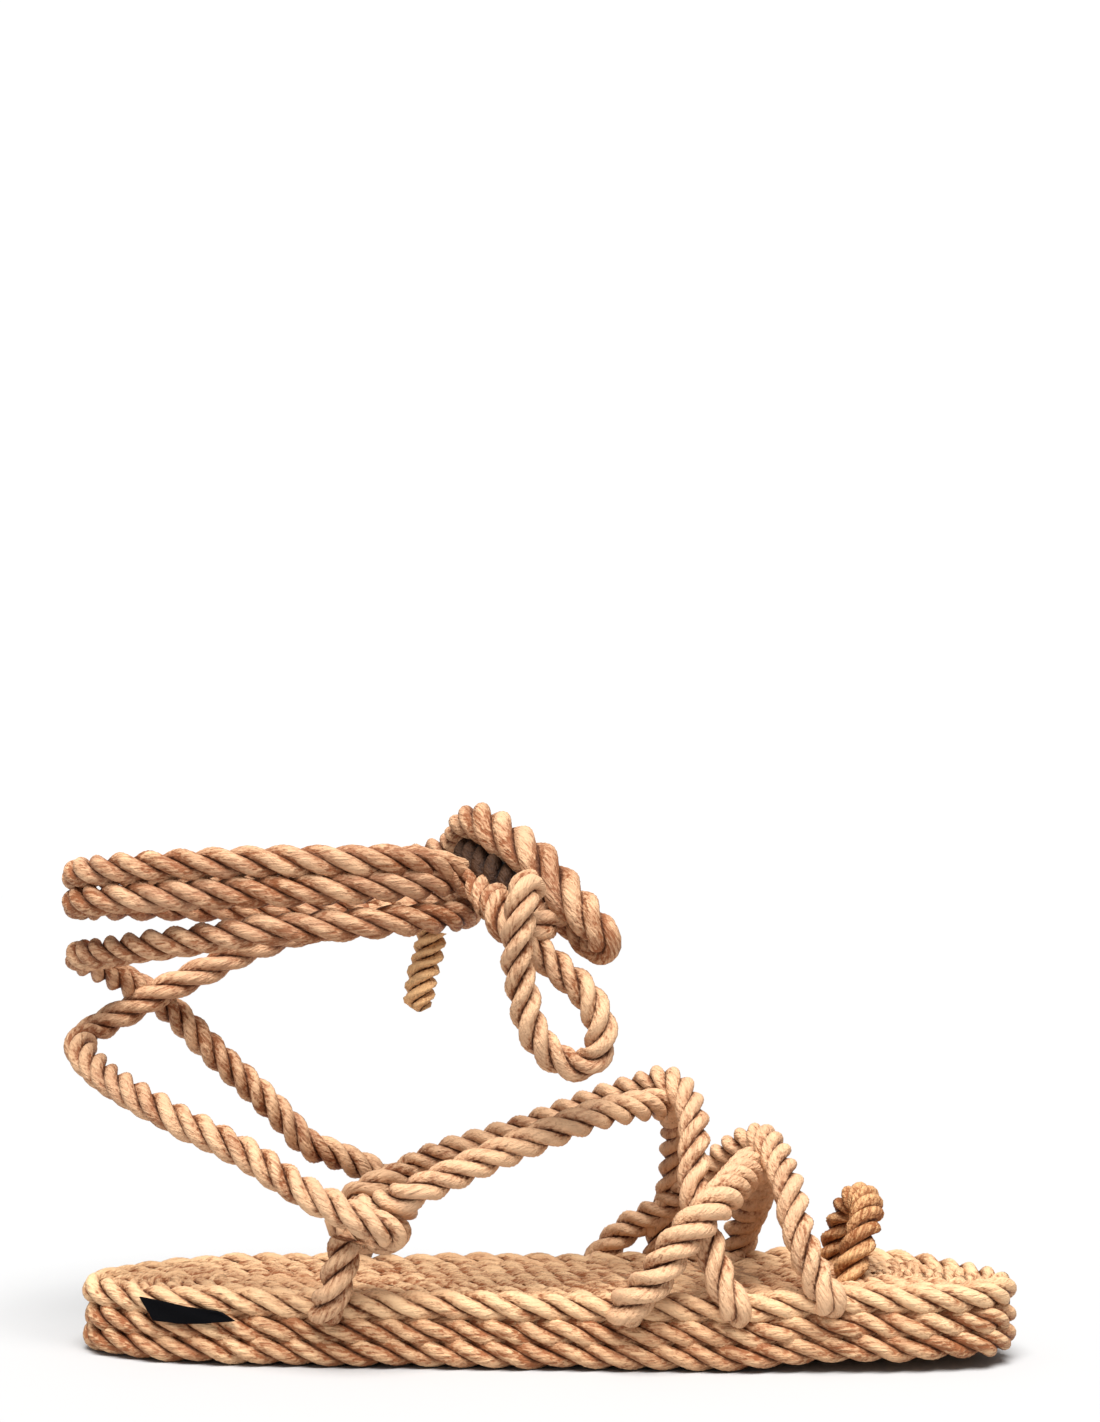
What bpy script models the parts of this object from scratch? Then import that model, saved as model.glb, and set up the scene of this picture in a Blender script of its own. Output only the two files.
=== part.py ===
"""Rope sandal: a sole of three coiled rope layers, rope straps over the foot and rope wraps round the ankle.

Metres, +Z up, toe towards +X, the wearer's inner side towards -Y. The origin is the middle of the
whole sandal's footprint, on the floor.
"""

import math

import bmesh
import bpy
import numpy as np

# Driving sizes, in metres
SOLE_LENGTH = 0.253
SOLE_WIDTH = 0.075
SOLE_ROPE = 0.0070
ROW_PITCH = 0.0064
ROW_BULGE = 0.0020
COIL_DIP = 0.0012
COIL_GROOVE = 0.0007
TOE_SPRING = 0.0024
STRAP_ROPE = 0.0082
LACING_HEIGHT = 0.114
CLEARANCE = 0.0003
END_GAP = 0.0008
STRAP_TUCK = 0.0070
STRAP_PROUD = 0.0011
STRAP_RISE = 0.0016
STRAP_SINK = 0.0008
TAB_LENGTH = 0.0270
TAB_HEIGHT = 0.0064
TAB_THICKNESS = 0.0012

# Sizes that follow from them
LAYERS = ("outsole_rope_layer", "midsole_rope_layer", "footbed_rope_layer")
FOOTBED_TOP = (len(LAYERS) - 1) * ROW_PITCH + SOLE_ROPE
UPPER_SEAM = (len(LAYERS) - 1) * ROW_PITCH
SPRING_START = 0.20
SPRING_END = 0.31
RIM_COILS = 4
COIL_COUNT = 4.9
RIM_SPACING = 0.0140
ROPE_SPACING = 0.0082
BEND_PER_STEP = 0.60
FINE_SPACING = 0.001
CURVE_SAMPLES = 24
LACE_ROOT_SAMPLES = 12
ROPE_ROUGHNESS = 0.85
TAPE_ROUGHNESS = 0.6

# The sole seen from above: shares of its length (from the middle) and of its width
# columns: along, across
SOLE_OUTLINE = (
    (0.500, -0.215),
    (0.478, -0.390),
    (0.421, -0.480),
    (0.332, -0.505),
    (0.204, -0.505),
    (0.065, -0.480),
    (-0.093, -0.445),
    (-0.251, -0.405),
    (-0.370, -0.345),
    (-0.444, -0.245),
    (-0.500, -0.060),
    (-0.458, 0.270),
    (-0.379, 0.440),
    (-0.271, 0.480),
    (-0.113, 0.470),
    (0.065, 0.505),
    (0.223, 0.515),
    (0.342, 0.455),
    (0.431, 0.270),
    (0.480, 0.010),
)

# Half of one rope row's side, as shares: height in the row, inset of the bulge
# columns: height, inset
ROW_PROFILE = ((0.00, 1.00), (0.14, 0.36), (0.34, 0.06), (0.66, 0.06), (0.86, 0.36), (1.00, 1.00))

# The middle line that the coils close in on, as shares of the sole's length and width
# columns: along, across
MIDDLE_LINE = ((-0.35, 0.04), (0.00, 0.02), (0.35, -0.06))

# Free stretches of the straps, as shares of the sole's length and width and of the lacing's height
# columns: along, across, up
CROSS_STRAP_REAR_BASE = 0.085
CROSS_STRAP_REAR = (
    (0.113, -0.533, 0.045),
    (0.132, -0.533, 0.108),
    (0.151, -0.520, 0.154),
    (0.171, -0.480, 0.193),
    (0.190, -0.387, 0.226),
    (0.208, -0.240, 0.248),
    (0.226, -0.053, 0.260),
    (0.239, 0.100, 0.240),
    (0.241, 0.230, 0.190),
    (0.236, 0.360, 0.125),
    (0.227, 0.470, 0.060),
)
CROSS_STRAP_REAR_FAR_BASE = 0.223

CROSS_STRAP_FRONT_BASE = 0.292
CROSS_STRAP_FRONT = (
    (0.281, -0.510, 0.025),
    (0.269, -0.480, 0.094),
    (0.262, -0.413, 0.157),
    (0.258, -0.333, 0.221),
    (0.252, -0.227, 0.268),
    (0.245, -0.107, 0.307),
    (0.235, 0.030, 0.317),
    (0.217, 0.133, 0.296),
    (0.200, 0.240, 0.259),
    (0.184, 0.300, 0.225),
    (0.154, 0.413, 0.150),
    (0.125, 0.490, 0.099),
    (0.092, 0.540, 0.050),
)
CROSS_STRAP_FRONT_FAR_BASE = 0.063

INSTEP_LACE_NEAR_BASE = 0.196
INSTEP_LACE_NEAR = (
    (0.182, -0.500, 0.038),
    (0.174, -0.470, 0.093),
    (0.162, -0.413, 0.178),
    (0.157, -0.387, 0.226),
    (0.157, -0.347, 0.264),
    (0.159, -0.280, 0.331),
    (0.160, -0.200, 0.382),
    (0.152, -0.090, 0.435),
    (0.133, 0.030, 0.462),
    (0.107, 0.150, 0.440),
    (0.062, 0.267, 0.401),
    (0.018, 0.347, 0.358),
    (-0.029, 0.400, 0.317),
    (-0.075, 0.440, 0.282),
    (-0.114, 0.470, 0.255),
    (-0.146, 0.510, 0.226),
    (-0.164, 0.493, 0.199),
    (-0.192, 0.413, 0.177),
    (-0.219, 0.407, 0.146),
    (-0.204, 0.407, 0.107),
    (-0.176, 0.427, 0.098),
    (-0.158, 0.513, 0.125),
    (-0.168, 0.607, 0.155),
    (-0.192, 0.640, 0.182),
    (-0.215, 0.627, 0.208),
)

INSTEP_LACE_FAR_BASE = 0.129
INSTEP_LACE_FAR = (
    (0.134, 0.510, 0.055),
    (0.144, 0.450, 0.160),
    (0.147, 0.400, 0.219),
    (0.148, 0.333, 0.279),
    (0.147, 0.240, 0.335),
    (0.143, 0.120, 0.380),
    (0.133, 0.000, 0.404),
    (0.109, -0.120, 0.412),
    (0.059, -0.262, 0.400),
    (0.017, -0.347, 0.371),
    (-0.026, -0.400, 0.337),
    (-0.067, -0.453, 0.302),
    (-0.106, -0.500, 0.266),
    (-0.137, -0.545, 0.238),
    (-0.164, -0.467, 0.208),
    (-0.188, -0.380, 0.186),
    (-0.215, -0.373, 0.151),
    (-0.200, -0.373, 0.111),
    (-0.172, -0.393, 0.103),
    (-0.154, -0.480, 0.129),
    (-0.164, -0.573, 0.160),
    (-0.188, -0.607, 0.186),
    (-0.211, -0.593, 0.208),
)

TOE_LOOP_NEAR_LEG = (0.323, -0.187)
TOE_LOOP_FAR_LEG = (0.321, 0.240)
TOE_LOOP_DEPTH = 0.0085
TOE_LOOP = (
    (0.329, -0.187, 0.022),
    (0.339, -0.167, 0.082),
    (0.349, -0.093, 0.128),
    (0.352, 0.013, 0.150),
    (0.347, 0.107, 0.151),
    (0.339, 0.180, 0.122),
    (0.331, 0.220, 0.063),
    (0.325, 0.240, 0.006),
)

# The heel loops that hold the laces back: base at the sole's edge, neck above it
# columns: along, across, up
HEEL_LOOP_NEAR_BASE = -0.227
HEEL_LOOP_NEAR = ((-0.217, -0.480, 0.016), (-0.210, -0.490, 0.075), (-0.203, -0.493, 0.130))
HEEL_LOOP_FAR_BASE = -0.222
HEEL_LOOP_FAR = ((-0.216, 0.535, 0.016), (-0.212, 0.530, 0.075), (-0.208, 0.527, 0.130))

# The laces from the heel loops up to the back of the ankle
# columns: along, across, up
NEAR_RISE = (
    (-0.267, -0.530, 0.268),
    (-0.301, -0.480, 0.312),
    (-0.336, -0.440, 0.349),
    (-0.372, -0.395, 0.381),
    (-0.405, -0.340, 0.413),
    (-0.445, -0.250, 0.452),
    (-0.484, -0.110, 0.492),
    (-0.515, 0.060, 0.542),
    (-0.509, 0.220, 0.576),
    (-0.475, 0.300, 0.622),
    (-0.433, 0.330, 0.675),
    (-0.388, 0.360, 0.724),
    (-0.343, 0.400, 0.775),
    (-0.285, 0.455, 0.818),
    (-0.216, 0.500, 0.846),
)
FAR_RISE = (
    (-0.275, 0.530, 0.272),
    (-0.305, 0.505, 0.345),
    (-0.336, 0.490, 0.412),
    (-0.367, 0.475, 0.477),
    (-0.396, 0.470, 0.539),
    (-0.432, 0.445, 0.618),
    (-0.468, 0.335, 0.684),
    (-0.496, 0.190, 0.728),
    (-0.514, 0.030, 0.763),
    (-0.484, -0.150, 0.775),
    (-0.421, -0.315, 0.796),
    (-0.364, -0.395, 0.814),
)

# The wraps round the ankle: an oval ring seen from above, and the height of each lace along its turn.
# A turn is counted from the back of the heel; the inner lace runs the near side first.
ANKLE_MIDDLE = -0.300
ANKLE_HALF_LENGTH = 0.213
ANKLE_HALF_WIDTH = 0.478
ANKLE_ROUNDNESS = 2.25
# columns: turns, up
FAR_LACE_TURNS = (
    (0.25, 0.834),
    (0.36, 0.856),
    (0.50, 0.872),
    (0.75, 0.878),
    (1.00, 0.893),
    (1.25, 0.924),
    (1.44, 0.950),
)
NEAR_LACE_TURNS = (
    (-0.33, 0.868),
    (-0.40, 0.900),
    (-0.50, 0.950),
    (-0.62, 0.998),
    (-0.75, 0.994),
    (-1.00, 0.960),
    (-1.25, 0.972),
    (-1.36, 1.000),
    (-1.44, 1.045),
)
WRAP_STEP = 0.035

# The last of the outer lace and the bow, which hang free: routes in metres from the sole's middle
FAR_LACE_TO_KNOT = (
    (-0.0190, -0.0150, 0.1268),
    (-0.0165, -0.0210, 0.1249),
    (-0.0141, -0.0306, 0.1216),
)
BOW_FRONT_LOOP = (
    (-0.0222, 0.0030, 0.1432),
    (-0.0180, -0.0050, 0.1438),
    (-0.0131, -0.0130, 0.1410),
    (-0.0080, -0.0200, 0.1378),
    (-0.0033, -0.0260, 0.1345),
    (0.0010, -0.0310, 0.1302),
    (0.0052, -0.0360, 0.1251),
    (0.0094, -0.0400, 0.1207),
    (0.0130, -0.0430, 0.1166),
    (0.0158, -0.0435, 0.1128),
    (0.0152, -0.0385, 0.1103),
    (0.0120, -0.0335, 0.1120),
    (0.0080, -0.0305, 0.1160),
    (0.0042, -0.0290, 0.1200),
    (-0.0010, -0.0290, 0.1220),
    (-0.0050, -0.0318, 0.1219),
)
BOW_HANGING_LOOP = (
    (-0.0034, -0.0434, 0.1268),
    (-0.0050, -0.0475, 0.1262),
    (-0.0058, -0.0493, 0.1222),
    (-0.0065, -0.0497, 0.1175),
    (-0.0070, -0.0490, 0.1115),
    (-0.0068, -0.0478, 0.1051),
    (-0.0053, -0.0468, 0.0978),
    (-0.0035, -0.0470, 0.0906),
    (0.0005, -0.0460, 0.0844),
    (0.0067, -0.0450, 0.0805),
    (0.0124, -0.0445, 0.0815),
    (0.0148, -0.0440, 0.0867),
    (0.0140, -0.0435, 0.0929),
    (0.0106, -0.0425, 0.0989),
    (0.0062, -0.0410, 0.1030),
    (0.0010, -0.0390, 0.1075),
    (-0.0025, -0.0387, 0.1103),
    (-0.0061, -0.0382, 0.1136),
)
LACE_END = (
    (-0.0308, -0.0134, 0.1142),
    (-0.0320, -0.0140, 0.1070),
    (-0.0335, -0.0150, 0.1020),
    (-0.0341, -0.0150, 0.0970),
    (-0.0341, -0.0150, 0.0925),
)
BOW_KNOT_MIDDLE = (-0.0115, -0.0370, 0.1190)
BOW_KNOT_SIZE = (0.0130, 0.0130, 0.0160)
KNOT_SEGMENTS = 16
KNOT_RINGS = 10

# The label tab on the near side of the heel: its middle as a share of the sole's length
TAB_PLACE = -0.375
# Shares of its length, and of its height above and below the upper seam
# columns: along, low, high
TAB_SHAPE = ((-0.45, -0.20, 0.72), (-0.15, -0.26, 0.58), (0.15, -0.20, 0.42), (0.47, -0.08, 0.26))

# The colours of the rope and the tape
TAN_ROPE = (0.62, 0.39, 0.19, 1.0)
PALE_ROPE = (0.70, 0.48, 0.26, 1.0)
DEEP_ROPE = (0.52, 0.31, 0.15, 1.0)
BLACK_TAPE = (0.02, 0.02, 0.025, 1.0)


def material(name, colour, roughness):
    """A Principled material with the sub-part's own colour and roughness."""
    made = bpy.data.materials.new(name)
    made.use_nodes = True
    shader = made.node_tree.nodes["Principled BSDF"]
    shader.inputs["Base Color"].default_value = colour
    shader.inputs["Roughness"].default_value = roughness
    shader.inputs["Metallic"].default_value = 0.0
    return made


def smooth_route(points, spacing, closed=False):
    """Points on a Catmull-Rom curve through the given points, spaced closer where the route bends."""
    knots = np.array(points, float)
    if closed:
        knots = np.vstack([knots[-1], knots, knots[:2]])
    else:
        knots = np.vstack([2 * knots[0] - knots[1], knots, 2 * knots[-1] - knots[-2]])
    t = np.linspace(0, 1, CURVE_SAMPLES, endpoint=False)[:, None]
    spans = []
    for before, start, end, after in zip(knots, knots[1:], knots[2:], knots[3:]):
        square, cube = t * t, t * t * t
        spans.append(
            0.5 * (2 * start + (end - before) * t + (2 * before - 5 * start + 4 * end - after) * square
                   + (3 * start - before - 3 * end + after) * cube)
        )
    dense = np.vstack(spans + [knots[-2][None]])
    steps = np.diff(dense, axis=0)
    lengths = np.linalg.norm(steps, axis=1)
    headings = steps / lengths[:, None]
    bends = np.arccos(np.clip((headings[1:] * headings[:-1]).sum(axis=1), -1, 1))
    walked = np.concatenate([[0], np.cumsum(lengths / spacing + np.append(bends, 0) / BEND_PER_STEP)])
    count = max(2, round(walked[-1]))
    wanted = np.linspace(0, walked[-1], count + 1)
    if closed:
        wanted = wanted[:-1]
    return np.stack([np.interp(wanted, walked, dense[:, axis]) for axis in range(dense.shape[1])], axis=1)


def outline(spacing):
    """The sole's outline as an array of points, near side first, from the toe."""
    corners = [(along * SOLE_LENGTH, across * SOLE_WIDTH) for along, across in SOLE_OUTLINE]
    return smooth_route(corners, spacing, closed=True)


def edge(along, side):
    """The sole's edge at this share of its length: side -1 is the near edge, +1 the far edge."""
    rim = outline(FINE_SPACING)
    here = rim[np.abs(rim[:, 0] - along * SOLE_LENGTH) < 1.5 * FINE_SPACING]
    return here[:, 1].max() if side > 0 else here[:, 1].min()


def spring(along):
    """How far the toe end is lifted at this share of the sole's length."""
    t = np.clip((along - SPRING_START) / (SPRING_END - SPRING_START), 0, 1)
    return TOE_SPRING * t * t * (3 - 2 * t)


def place(along, across, up):
    """A point from its shares of the sole's length and width and of the lacing's height."""
    lift = spring(along) * max(0.0, 1 - up)
    return (along * SOLE_LENGTH, across * SOLE_WIDTH, FOOTBED_TOP + up * LACING_HEIGHT + lift)


def tucked_end(along, side):
    """Two points of a rope's end: tucked in between the two upper rows, and coming out at the edge."""
    rim = edge(along, side)
    seam = UPPER_SEAM + spring(along)
    inside = (along * SOLE_LENGTH, rim - side * STRAP_TUCK, seam - STRAP_SINK)
    outside = (along * SOLE_LENGTH, rim + side * STRAP_PROUD, seam + STRAP_RISE)
    return [inside, outside]


def carried_on(line):
    """Two points that start a rope in line with the end of another, one clearance away from it."""
    onwards = (line[-1] - line[-2]) / np.linalg.norm(line[-1] - line[-2])
    return [tuple(line[-1] + onwards * END_GAP), tuple(line[-1] + onwards * ROPE_SPACING)]


def lengthened(route, by):
    """The same route, carried straight on at both ends, so that a pocket is deeper than its rope."""
    longer = route.copy()
    for end, beside in ((0, 1), (-1, -2)):
        outwards = route[end] - route[beside]
        longer[end] += outwards / np.linalg.norm(outwards) * by
    return longer


def collection(name):
    made = bpy.data.collections.new(name)
    bpy.context.scene.collection.children.link(made)
    return made


def hide_as_helper(obj):
    obj.hide_render = True
    obj.display_type = "WIRE"


def rope_curve(name, route, diameter):
    """A round rope as a curve with a bevel and filled caps, along a smooth route."""
    curve = bpy.data.curves.new(name, "CURVE")
    curve.dimensions = "3D"
    curve.bevel_depth = diameter / 2
    curve.bevel_resolution = 3
    curve.use_fill_caps = True
    spline = curve.splines.new("POLY")
    spline.points.add(len(route) - 1)
    spline.points.foreach_set("co", np.column_stack([route, np.ones(len(route))]).ravel())
    return bpy.data.objects.new(name, curve)


def rope_mesh(name, route, diameter, group):
    """The same rope as a closed mesh, for joining and cutting."""
    guide = rope_curve(name + "_guide", route, diameter)
    group.objects.link(guide)
    bpy.context.view_layer.update()
    mesh = bpy.data.meshes.new_from_object(guide.evaluated_get(bpy.context.evaluated_depsgraph_get()))
    mesh.name = name
    bpy.data.objects.remove(guide)
    shape = bmesh.new()
    shape.from_mesh(mesh)
    bmesh.ops.remove_doubles(shape, verts=shape.verts, dist=0.00001)
    bmesh.ops.recalc_face_normals(shape, faces=shape.faces)
    shape.to_mesh(mesh)
    shape.free()
    made = bpy.data.objects.new(name, mesh)
    group.objects.link(made)
    return made


def joined(first, others, target):
    """Ropes that cross become one solid: the first keeps its name and takes in the others."""
    target.objects.link(first)
    for other in others:
        hide_as_helper(other)
        union = first.modifiers.new("join_" + other.name, "BOOLEAN")
        union.operation = "UNION"
        union.solver = "EXACT"
        union.use_self = True
        union.object = other
    return first


def rope_row_layer(name, floor, height, top_dip, group):
    """One layer of the sole: the outline carried round a rope-like bulge, with the coil's rings on top."""
    rim = outline(RIM_SPACING)
    along = rim[:, 0] / SOLE_LENGTH
    reach = SOLE_WIDTH * 0.5
    core_x = np.clip(rim[:, 0], -SOLE_LENGTH / 2 + reach, SOLE_LENGTH / 2 - reach)
    core_y = np.interp(core_x / SOLE_LENGTH, *zip(*MIDDLE_LINE)) * SOLE_WIDTH
    core = np.stack([core_x, core_y], axis=1)
    lift = spring(along)
    rings = [(ROW_BULGE * inset, floor + height * share) for share, inset in ROW_PROFILE]
    if top_dip:
        coil = reach / COIL_COUNT
        for turn in range(1, RIM_COILS + 1):
            rings.append((coil * turn, floor + height - top_dip - COIL_GROOVE))
            rings.append((coil * (turn + 0.5), floor + height - top_dip))
    shape = bmesh.new()
    loops = []
    for inset, level in rings:
        share = inset / reach
        flat = rim + (core - rim) * share
        loops.append([shape.verts.new((x, y, level + up)) for (x, y), up in zip(flat, lift)])
    for lower, upper in zip(loops, loops[1:]):
        for k in range(len(lower)):
            n = (k + 1) % len(lower)
            shape.faces.new((lower[k], lower[n], upper[n], upper[k]))
    fill_across(shape, loops[0])
    fill_across(shape, loops[-1])
    bmesh.ops.recalc_face_normals(shape, faces=shape.faces)
    mesh = bpy.data.meshes.new(name)
    shape.to_mesh(mesh)
    shape.free()
    made = bpy.data.objects.new(name, mesh)
    group.objects.link(made)
    return made


def fill_across(shape, loop):
    """Strips from the near edge to the far edge, so that the toe's lift bends them cleanly."""
    count = len(loop)
    toe = max(range(count), key=lambda k: loop[k].co.x)
    turned = [loop[(toe + k) % count] for k in range(count)]
    near, far = 1, count - 1
    shape.faces.new((turned[0], turned[near], turned[far]))
    while far - near > 1:
        if far - near == 2:
            shape.faces.new((turned[near], turned[near + 1], turned[far]))
            break
        shape.faces.new((turned[near], turned[near + 1], turned[far - 1], turned[far]))
        near += 1
        far -= 1


def cut(target, cutters):
    """Pockets for the ropes, each a clearance wider than its rope."""
    for cutter in cutters:
        pocket = target.modifiers.new("pocket_" + cutter.name, "BOOLEAN")
        pocket.operation = "DIFFERENCE"
        pocket.solver = "EXACT"
        pocket.use_self = True
        pocket.object = cutter


def ankle_ring(turns, up):
    """A point of the wraps: an oval, squarer than an ellipse, counted in turns from the heel's back."""
    angle = 2 * math.pi * turns
    power = 2 / ANKLE_ROUNDNESS
    forward = -math.copysign(abs(math.cos(angle)) ** power, math.cos(angle))
    sideways = -math.copysign(abs(math.sin(angle)) ** power, math.sin(angle))
    return place(ANKLE_MIDDLE + ANKLE_HALF_LENGTH * forward, ANKLE_HALF_WIDTH * sideways, up)


def ankle_turns(table):
    """The route of a lace round the ankle, stepped through its table of turns and heights."""
    turns = [row[0] for row in table]
    heights = [row[1] for row in table]
    count = max(2, round(abs(turns[-1] - turns[0]) / WRAP_STEP))
    stations = np.linspace(turns[0], turns[-1], count + 1)
    order = np.argsort(turns)
    levels = np.interp(stations, np.array(turns)[order], np.array(heights)[order])
    return [ankle_ring(turn, level) for turn, level in zip(stations, levels)]


def strap_points(base, table, far_base):
    return tucked_end(base, -1) + [place(*row) for row in table] + tucked_end(far_base, 1)[::-1]


def own_object(name, group):
    """The primitive that was just added, named and moved to its group."""
    made = bpy.context.object
    made.name = name
    for owner in list(made.users_collection):
        owner.objects.unlink(made)
    group.objects.link(made)
    return made


def label_tab(group):
    """A small plain tape lying against the heel's near side, slanted and narrower towards the toe."""
    rim = outline(FINE_SPACING)
    near = rim[rim[:, 1] < 0]
    near = near[np.argsort(near[:, 0])]
    bpy.ops.mesh.primitive_cube_add(size=1)
    tab = own_object("label_tab", group)
    shape = bmesh.new()
    inner = []
    outer = []
    for along, low, high in TAB_SHAPE:
        ends = []
        for share in (low, high):
            x = TAB_PLACE * SOLE_LENGTH + along * TAB_LENGTH
            y = np.interp(x, near[:, 0], near[:, 1]) - CLEARANCE
            ends.append((x, y, UPPER_SEAM + share * TAB_HEIGHT))
        inner.append([shape.verts.new(end) for end in ends])
        outer.append([shape.verts.new((x, y - TAB_THICKNESS, z)) for x, y, z in ends])
    for k in range(len(TAB_SHAPE) - 1):
        shape.faces.new((inner[k][0], inner[k + 1][0], inner[k + 1][1], inner[k][1]))
        shape.faces.new((outer[k][0], outer[k][1], outer[k + 1][1], outer[k + 1][0]))
        shape.faces.new((inner[k][1], inner[k + 1][1], outer[k + 1][1], outer[k][1]))
        shape.faces.new((inner[k][0], outer[k][0], outer[k + 1][0], inner[k + 1][0]))
    for k in (0, len(TAB_SHAPE) - 1):
        shape.faces.new((inner[k][0], inner[k][1], outer[k][1], outer[k][0]))
    bmesh.ops.recalc_face_normals(shape, faces=shape.faces)
    shape.to_mesh(tab.data)
    shape.free()
    return tab


def knot(group):
    """The bow's knot, a rounded lump."""
    bpy.ops.mesh.primitive_uv_sphere_add(segments=KNOT_SEGMENTS, ring_count=KNOT_RINGS, radius=0.5)
    lump = own_object("bow_knot", group)
    for vertex in lump.data.vertices:
        vertex.co = np.array(BOW_KNOT_MIDDLE) + np.array(vertex.co) * BOW_KNOT_SIZE
    return lump


def centre_on_origin(fixed, group, helpers):
    """Everything hangs on one empty, which is moved to put the footprint's middle at the origin."""
    frame = bpy.data.objects.new("sandal", None)
    group.objects.link(frame)
    for obj in list(group.objects) + list(helpers.objects):
        if obj is not frame:
            obj.parent = frame
    bpy.context.view_layer.update()
    depsgraph = bpy.context.evaluated_depsgraph_get()
    corners = np.array([corner[:] for part in fixed for corner in part.evaluated_get(depsgraph).bound_box])
    frame.location = (*-(corners.min(axis=0) + corners.max(axis=0))[:2] / 2, 0)


def main():
    for obj in list(bpy.data.objects):
        bpy.data.objects.remove(obj)
    sandal = collection("rope_sandal")
    helpers = collection("cutters_and_guides")

    layers = []
    for row, name in enumerate(LAYERS):
        top = row == len(LAYERS) - 1
        height = SOLE_ROPE if top else ROW_PITCH - CLEARANCE
        layers.append(rope_row_layer(name, row * ROW_PITCH, height, COIL_DIP if top else 0, sandal))

    routes = {
        "instep_straps": strap_points(CROSS_STRAP_REAR_BASE, CROSS_STRAP_REAR, CROSS_STRAP_REAR_FAR_BASE),
        "cross_strap_front": strap_points(
            CROSS_STRAP_FRONT_BASE, CROSS_STRAP_FRONT, CROSS_STRAP_FRONT_FAR_BASE
        ),
        "lace_from_near": tucked_end(INSTEP_LACE_NEAR_BASE, -1) + [place(*row) for row in INSTEP_LACE_NEAR],
        "lace_from_far": tucked_end(INSTEP_LACE_FAR_BASE, 1) + [place(*row) for row in INSTEP_LACE_FAR],
        "heel_loop_near": tucked_end(HEEL_LOOP_NEAR_BASE, -1) + [place(*row) for row in HEEL_LOOP_NEAR],
        "heel_loop_far": tucked_end(HEEL_LOOP_FAR_BASE, 1) + [place(*row) for row in HEEL_LOOP_FAR],
        "toe_loop": (
            [place(*TOE_LOOP_NEAR_LEG, -TOE_LOOP_DEPTH / LACING_HEIGHT)]
            + [place(*row) for row in TOE_LOOP]
            + [place(*TOE_LOOP_FAR_LEG, -TOE_LOOP_DEPTH / LACING_HEIGHT)]
        ),
    }
    lines = {name: smooth_route(points, ROPE_SPACING) for name, points in routes.items()}
    for name, before, rise, turns, last in (
        ("ankle_wraps", "lace_from_near", FAR_RISE, FAR_LACE_TURNS, FAR_LACE_TO_KNOT),
        ("near_lace_wraps", "lace_from_far", NEAR_RISE, NEAR_LACE_TURNS, ()),
    ):
        points = carried_on(lines[before]) + [place(*row) for row in rise] + ankle_turns(turns) + list(last)
        lines[name] = smooth_route(points, ROPE_SPACING)
    ropes = {name: rope_mesh(name, line, STRAP_ROPE, helpers) for name, line in lines.items()}
    for name in ("instep_straps", "ankle_wraps", "heel_loop_near", "heel_loop_far", "toe_loop"):
        helpers.objects.unlink(ropes[name])
    crossing = [ropes[name] for name in ("cross_strap_front", "lace_from_near", "lace_from_far")]
    joined(ropes["instep_straps"], crossing, sandal)
    joined(ropes["ankle_wraps"], [ropes["near_lace_wraps"]], sandal)
    for name in ("heel_loop_near", "heel_loop_far", "toe_loop"):
        sandal.objects.link(ropes[name])

    pockets = []
    for name, samples in (
        ("instep_straps", None),
        ("cross_strap_front", None),
        ("lace_from_near", LACE_ROOT_SAMPLES),
        ("lace_from_far", LACE_ROOT_SAMPLES),
        ("heel_loop_near", None),
        ("heel_loop_far", None),
        ("toe_loop", None),
    ):
        line = lengthened(lines[name][:samples], 2 * CLEARANCE)
        cutter = rope_mesh(name + "_pocket", line, STRAP_ROPE + 2 * CLEARANCE, helpers)
        hide_as_helper(cutter)
        pockets.append(cutter)
    cut(layers[1], pockets)
    cut(layers[2], pockets)

    tab = label_tab(sandal)
    lump = knot(sandal)
    cords = []
    for name, points in (
        ("bow_front_loop", carried_on(lines["near_lace_wraps"]) + list(BOW_FRONT_LOOP)),
        ("bow_hanging_loop", BOW_HANGING_LOOP),
        ("lace_end", LACE_END),
    ):
        cord = rope_curve(name, smooth_route(points, ROPE_SPACING), STRAP_ROPE)
        sandal.objects.link(cord)
        cords.append(cord)

    for part, name, colour in (
        (layers[0], "outsole_rope", DEEP_ROPE),
        (layers[1], "midsole_rope", TAN_ROPE),
        (layers[2], "footbed_rope", PALE_ROPE),
        (ropes["instep_straps"], "strap_rope", TAN_ROPE),
        (ropes["ankle_wraps"], "lace_rope", TAN_ROPE),
        (ropes["heel_loop_near"], "heel_loop_rope", TAN_ROPE),
        (ropes["heel_loop_far"], "heel_loop_far_rope", TAN_ROPE),
        (ropes["toe_loop"], "toe_loop_rope", TAN_ROPE),
        (lump, "bow_knot_rope", TAN_ROPE),
    ):
        part.data.materials.clear()
        part.data.materials.append(material(name, colour, ROPE_ROUGHNESS))
    for cord in cords:
        cord.data.materials.append(material(cord.name + "_rope", TAN_ROPE, ROPE_ROUGHNESS))
    tab.data.materials.append(material("label_tape", BLACK_TAPE, TAPE_ROUGHNESS))

    standing = ("instep_straps", "ankle_wraps", "heel_loop_near", "heel_loop_far", "toe_loop")
    centre_on_origin(layers + [ropes[name] for name in standing] + [tab], sandal, helpers)


main()
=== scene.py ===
# %% [markdown]
# # A rope sandal
#
# The sandal is nearly all one material: soft twisted rope. Its sole is three rows of rope coiled flat,
# and ropes come out between the rows to cross the foot and to wind round the ankle. This lesson works out
# each rope as a surface with numpy, so that the grooves between its strands are real geometry.

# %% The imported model
import math

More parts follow.
